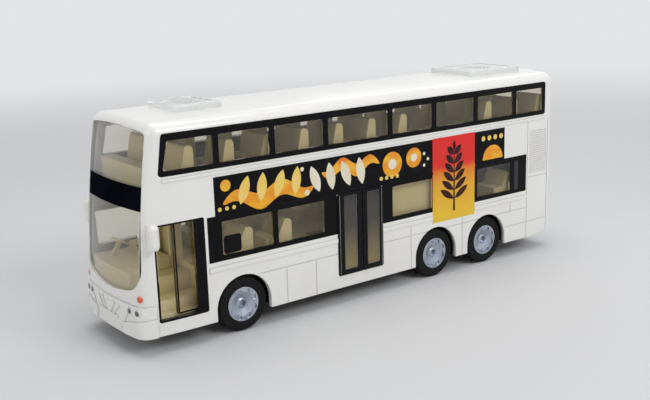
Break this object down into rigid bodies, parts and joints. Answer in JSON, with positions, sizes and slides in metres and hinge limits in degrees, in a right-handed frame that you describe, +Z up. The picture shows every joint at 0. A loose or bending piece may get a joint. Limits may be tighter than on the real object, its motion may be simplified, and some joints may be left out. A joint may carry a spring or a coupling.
{
  "type": "toy double decker bus",
  "caption": "A die-cast toy of a three-axle double decker bus: hollow painted metal shell, clear glazing, two moulded saloons with seats, black base and rubber-tyred wheels that roll.",
  "frame": {"origin": "on the floor under the middle of the body, midway between its ends and its sides", "axes": "+X forward, towards the windscreen; +Y left, towards the door side; +Z up"},
  "size_m": [0.1505, 0.04, 0.0599],
  "materials": {
    "white_paint": "gloss",
    "clear_plastic": "gloss",
    "black_gloss": "gloss",
    "door_plastic": "gloss",
    "cream_interior": "satin",
    "black_base": "satin",
    "frosted_clear": "satin",
    "tyre_rubber": "matte",
    "plated_hub": "polished",
    "steel_rod": "satin"
  },
  "bodies": {
    "root": {"body_shell": "white_paint", "windscreen": "clear_plastic", "rear_window": "clear_plastic", "upper_glazing_left": "clear_plastic", "upper_glazing_right": "clear_plastic", "lower_glazing_front_left": "clear_plastic", "lower_glazing_rear_left": "clear_plastic", "driver_window": "clear_plastic", "lower_glazing_right": "clear_plastic", "centre_door": "black_gloss", "entrance_door": "door_plastic", "upper_deck": "cream_interior", "lower_deck": "cream_interior", "cab": "cream_interior", "chassis_base": "black_base", "roof_pod_front": "frosted_clear", "roof_pod_rear": "frosted_clear", "mirror_left": "white_paint", "mirror_right": "white_paint"},
    "wheels_front": {"axle_front": "steel_rod", "hub_front_left": "plated_hub", "tyre_front_left": "tyre_rubber", "hub_front_right": "plated_hub", "tyre_front_right": "tyre_rubber"},
    "wheels_middle": {"axle_middle": "steel_rod", "hub_middle_left": "plated_hub", "tyre_middle_left": "tyre_rubber", "hub_middle_right": "plated_hub", "tyre_middle_right": "tyre_rubber"},
    "wheels_rear": {"axle_rear": "steel_rod", "hub_rear_left": "plated_hub", "tyre_rear_left": "tyre_rubber", "hub_rear_right": "plated_hub", "tyre_rear_right": "tyre_rubber"}
  },
  "joints": [
    {"name": "roll_front", "type": "hinge", "parent": "root", "child": "wheels_front", "pos_m": [0.0446, 0, 0.0074], "axis": [0, 1, 0], "continuous": true},
    {"name": "roll_middle", "type": "hinge", "parent": "root", "child": "wheels_middle", "pos_m": [-0.0234, 0, 0.0074], "axis": [0, 1, 0], "continuous": true},
    {"name": "roll_rear", "type": "hinge", "parent": "root", "child": "wheels_rear", "pos_m": [-0.0449, 0, 0.0074], "axis": [0, 1, 0], "continuous": true}
  ]
}
